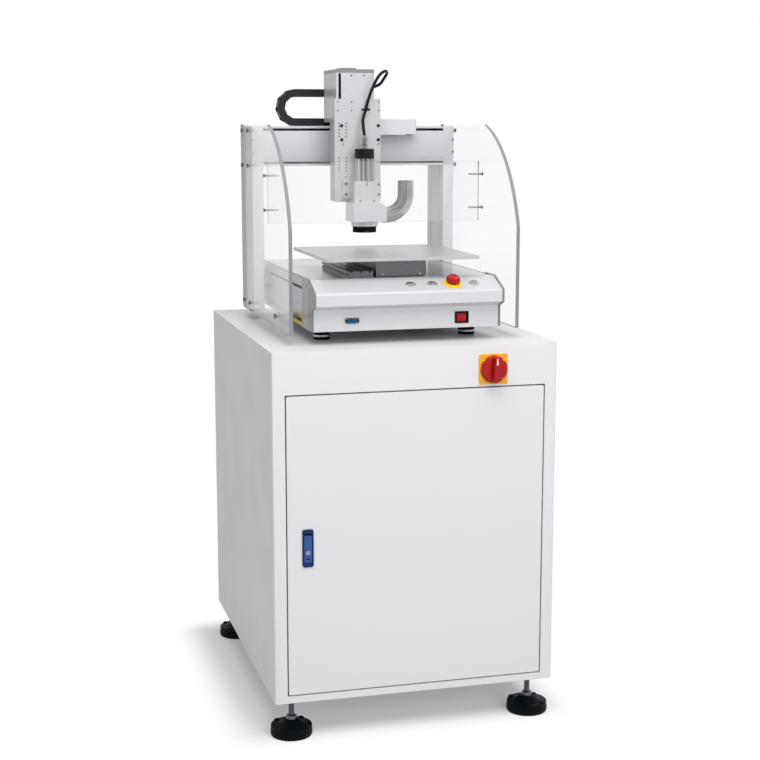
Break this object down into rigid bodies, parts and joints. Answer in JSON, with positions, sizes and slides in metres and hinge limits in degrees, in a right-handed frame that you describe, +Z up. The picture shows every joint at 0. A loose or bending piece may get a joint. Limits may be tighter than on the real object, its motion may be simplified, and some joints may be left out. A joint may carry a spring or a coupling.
{
  "type": "benchtop circuit board router",
  "caption": "Small gantry milling machine for circuit boards, with a sliding perforated table, clear side guards and a front shield, on a steel cabinet with a hinged door and levelling feet.",
  "frame": {"origin": "on the floor, under the middle of the whole object's width and depth", "axes": "+X to the right seen from the front, +Y to the back, +Z up"},
  "size_m": [0.626, 0.791, 1.419],
  "materials": {
    "cabinet_paint": "satin powder coat",
    "machine_paint": "satin powder coat",
    "black_rubber": "matte",
    "zinc_steel": "bright zinc plate",
    "aluminium": "fine brushed, clear anodised",
    "aluminium_grey": "satin anodised",
    "polished_steel": "polished",
    "black_plastic": "matte",
    "yellow_plastic": "gloss",
    "red_plastic": "gloss",
    "blue_plastic": "gloss",
    "clear_acrylic": "clear",
    "grey_steel": "satin"
  },
  "bodies": {
    "machine": {"cabinet_shell": "cabinet_paint", "rear_panel": "cabinet_paint", "door_pivots": "zinc_steel", "foot_pads": "black_rubber", "foot_stems": "zinc_steel", "isolator_plate": "yellow_plastic", "isolator_body": "black_plastic", "cabinet_shelf": "zinc_steel", "dust_collector": "grey_steel", "mains_gland": "black_plastic", "base_feet": "black_rubber", "base_moulding": "machine_paint", "base_end_caps": "machine_paint", "base_sides": "aluminium", "base_top": "aluminium", "base_tray": "machine_paint", "y_rails": "zinc_steel", "y_drive": "zinc_steel", "post_left": "aluminium", "post_right": "aluminium", "post_spacers": "aluminium_grey", "x_beam": "aluminium", "x_beam_cover": "aluminium", "x_rails": "zinc_steel", "x_drive": "zinc_steel", "chain_lower": "black_plastic", "guard_left": "clear_acrylic", "guard_right": "clear_acrylic", "front_shield": "clear_acrylic", "guard_screws": "zinc_steel", "estop_ring": "yellow_plastic", "button_bezels": "polished_steel", "rocker_bezel": "black_plastic", "serial_socket": "blue_plastic"},
    "cabinet_door": {"door": "cabinet_paint", "lock_body": "blue_plastic"},
    "lock_lever": {"lock_lever": "blue_plastic"},
    "isolator_knob": {"isolator_knob": "red_plastic"},
    "table": {"y_carriage": "aluminium_grey", "table_plate": "aluminium"},
    "x_carriage": {"x_carriage": "machine_paint", "z_housing": "machine_paint", "z_top_cap": "grey_steel", "z_drive": "zinc_steel", "chain_upper": "black_plastic"},
    "chain_bend": {"chain_bend": "black_plastic"},
    "z_head": {"z_plate": "aluminium", "spindle_clamp": "aluminium", "spindle_body": "polished_steel", "spindle_cap": "black_plastic", "dust_shroud": "aluminium", "brush_ring": "black_rubber", "suction_elbow": "polished_steel", "spindle_cable": "black_rubber"},
    "spindle_shaft": {"spindle_shaft": "polished_steel"},
    "estop_head": {"estop_head": "red_plastic"},
    "button_start": {"button_start": "polished_steel"},
    "button_pause": {"button_pause": "polished_steel"},
    "button_reset": {"button_reset": "polished_steel"},
    "rocker": {"rocker": "red_plastic"}
  },
  "joints": [
    {"name": "door_hinge", "type": "hinge", "parent": "machine", "child": "cabinet_door", "pos_m": [0.261, -0.3585, 0.42], "axis": [0, 0, 1], "range_deg": [0, 115]},
    {"name": "lock_lever_hinge", "type": "hinge", "parent": "cabinet_door", "child": "lock_lever", "pos_m": [-0.237, -0.3635, 0.4445], "axis": [-1, 0, 0], "range_deg": [0, 50]},
    {"name": "isolator_turn", "type": "hinge", "parent": "machine", "child": "isolator_knob", "pos_m": [0.166, -0.3715, 0.782], "axis": [0, -1, 0], "range_deg": [0, 90]},
    {"name": "y_slide", "type": "slide", "parent": "machine", "child": "table", "axis": [0, 1, 0], "range_m": [0, 0.24]},
    {"name": "x_slide", "type": "slide", "parent": "machine", "child": "x_carriage", "axis": [1, 0, 0], "range_m": [-0.11, 0.1], "deforming": ["chain_upper"]},
    {"name": "chain_slide", "type": "slide", "parent": "machine", "child": "chain_bend", "axis": [1, 0, 0], "range_m": [-0.055, 0.05], "deforming": ["chain_lower"]},
    {"name": "z_slide", "type": "slide", "parent": "x_carriage", "child": "z_head", "axis": [0, 0, 1], "range_m": [-0.03, 0.04], "deforming": ["spindle_cable"]},
    {"name": "spindle_spin", "type": "hinge", "parent": "z_head", "child": "spindle_shaft", "pos_m": [-0.008, 0.0425, 1.1], "axis": [0, 0, 1], "continuous": true},
    {"name": "estop_push", "type": "slide", "parent": "machine", "child": "estop_head", "axis": [0, 0.3824, -0.924], "range_m": [0, 0.003]},
    {"name": "start_push", "type": "slide", "parent": "machine", "child": "button_start", "axis": [0, 0.3824, -0.924], "range_m": [0, 0.0025], "stiffness_N_per_m": 300, "springref_m": -0.002},
    {"name": "pause_push", "type": "slide", "parent": "machine", "child": "button_pause", "axis": [0, 0.3824, -0.924], "range_m": [0, 0.0025], "stiffness_N_per_m": 300, "springref_m": -0.002},
    {"name": "reset_push", "type": "slide", "parent": "machine", "child": "button_reset", "axis": [0, 0.3824, -0.924], "range_m": [0, 0.0025], "stiffness_N_per_m": 300, "springref_m": -0.002},
    {"name": "rocker_tilt", "type": "hinge", "parent": "machine", "child": "rocker", "pos_m": [0.121, -0.2795, 0.884], "axis": [0, 0, 1], "range_deg": [0, 12]}
  ],
  "couplings": [
    {"joint": "chain_slide", "follows": "x_slide", "ratio": 0.5}
  ]
}
